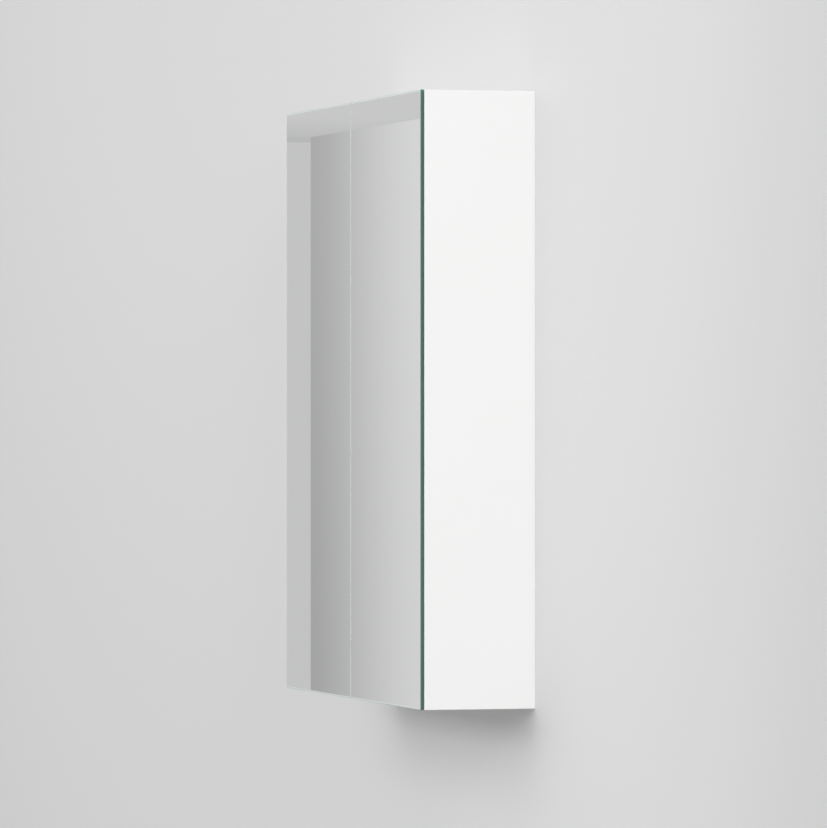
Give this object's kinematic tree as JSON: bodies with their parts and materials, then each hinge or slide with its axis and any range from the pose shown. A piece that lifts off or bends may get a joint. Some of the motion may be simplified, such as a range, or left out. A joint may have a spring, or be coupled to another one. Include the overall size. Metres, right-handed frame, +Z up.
{
  "type": "mirror cabinet",
  "caption": "Slim wall-hung cabinet with a white lacquered case, glass shelves and full-height mirror doors on concealed hinges.",
  "frame": {"origin": "centre of the cabinet's underside: middle of the width and of the depth, at the lower edge of the side panels", "axes": "+X to the right seen from the front, +Y towards the wall, +Z up; the mirrors face -Y"},
  "size_m": [0.6, 0.135, 0.7],
  "materials": {
    "lacquered_panel": "fibreboard with smooth white satin lacquer",
    "mirror_glass": "silvered float glass with polished green edges",
    "shelf_glass": "clear float glass with polished edges",
    "clear_rubber": "soft, translucent",
    "beech": "raw",
    "white_plastic": "fine matt",
    "zinc_casting": "nickel-plated zinc casting, satin",
    "nickel_steel": "nickel-plated pressed steel"
  },
  "bodies": {
    "cabinet": {"arm_pins": "nickel_steel", "arm_screws": "nickel_steel", "back_panel": "lacquered_panel", "bottom_panel": "lacquered_panel", "cam_bolts": "nickel_steel", "cam_caps": "white_plastic", "cam_housings": "zinc_casting", "door_bumpers": "clear_rubber", "dowels": "beech", "hanger_cover_left": "white_plastic", "hanger_cover_right": "white_plastic", "hanger_hook_left": "nickel_steel", "hanger_hook_right": "nickel_steel", "hanger_left": "zinc_casting", "hanger_right": "zinc_casting", "hanger_screws": "nickel_steel", "hinge_arm_lower_left": "nickel_steel", "hinge_arm_lower_right": "nickel_steel", "hinge_arm_upper_left": "nickel_steel", "hinge_arm_upper_right": "nickel_steel", "hinge_plate_lower_left": "zinc_casting", "hinge_plate_lower_right": "zinc_casting", "hinge_plate_upper_left": "zinc_casting", "hinge_plate_upper_right": "zinc_casting", "hinge_springs": "nickel_steel", "plate_screws": "nickel_steel", "shelf_1": "shelf_glass", "shelf_2": "shelf_glass", "shelf_3": "shelf_glass", "shelf_pads": "clear_rubber", "shelf_pins": "nickel_steel", "side_panel_left": "lacquered_panel", "side_panel_right": "lacquered_panel", "top_panel": "lacquered_panel", "wall_plate_left": "nickel_steel", "wall_plate_right": "nickel_steel"},
    "door_left": {"boss_pins_left": "nickel_steel", "door_mirror_left": "mirror_glass", "hinge_boss_lower_left": "zinc_casting", "hinge_boss_upper_left": "zinc_casting", "inner_mirror_left": "mirror_glass"},
    "arm_links_left": {"hinge_arm_link_lower_left": "nickel_steel", "hinge_arm_link_upper_left": "nickel_steel"},
    "boss_links_left": {"hinge_boss_link_lower_left": "nickel_steel", "hinge_boss_link_upper_left": "nickel_steel", "knee_pins_left": "nickel_steel"},
    "door_right": {"boss_pins_right": "nickel_steel", "door_mirror_right": "mirror_glass", "hinge_boss_lower_right": "zinc_casting", "hinge_boss_upper_right": "zinc_casting", "inner_mirror_right": "mirror_glass"},
    "arm_links_right": {"hinge_arm_link_lower_right": "nickel_steel", "hinge_arm_link_upper_right": "nickel_steel"},
    "boss_links_right": {"hinge_boss_link_lower_right": "nickel_steel", "hinge_boss_link_upper_right": "nickel_steel", "knee_pins_right": "nickel_steel"}
  },
  "joints": [
    {"name": "door_left_swing", "type": "hinge", "parent": "cabinet", "child": "door_left", "pos_m": [-0.299, -0.0675, 0.35], "axis": [0, 0, -1], "range_deg": [0, 105]},
    {"name": "arm_links_left_swing", "type": "hinge", "parent": "cabinet", "child": "arm_links_left", "pos_m": [-0.277, -0.0459, 0.35], "axis": [0, 0, -1], "range_deg": [0, 105]},
    {"name": "boss_links_left_swing", "type": "hinge", "parent": "door_left", "child": "boss_links_left", "pos_m": [-0.264, -0.0529, 0.35], "axis": [0, 0, -1], "range_deg": [-105, 0]},
    {"name": "door_right_swing", "type": "hinge", "parent": "cabinet", "child": "door_right", "pos_m": [0.299, -0.0675, 0.35], "axis": [0, 0, 1], "range_deg": [0, 105]},
    {"name": "arm_links_right_swing", "type": "hinge", "parent": "cabinet", "child": "arm_links_right", "pos_m": [0.277, -0.0459, 0.35], "axis": [0, 0, 1], "range_deg": [0, 105]},
    {"name": "boss_links_right_swing", "type": "hinge", "parent": "door_right", "child": "boss_links_right", "pos_m": [0.264, -0.0529, 0.35], "axis": [0, 0, 1], "range_deg": [-105, 0]}
  ],
  "couplings": [
    {"joint": "arm_links_left_swing", "follows": "door_left_swing", "ratio": 1},
    {"joint": "boss_links_left_swing", "follows": "door_left_swing", "ratio": -1},
    {"joint": "arm_links_right_swing", "follows": "door_right_swing", "ratio": 1},
    {"joint": "boss_links_right_swing", "follows": "door_right_swing", "ratio": -1}
  ]
}
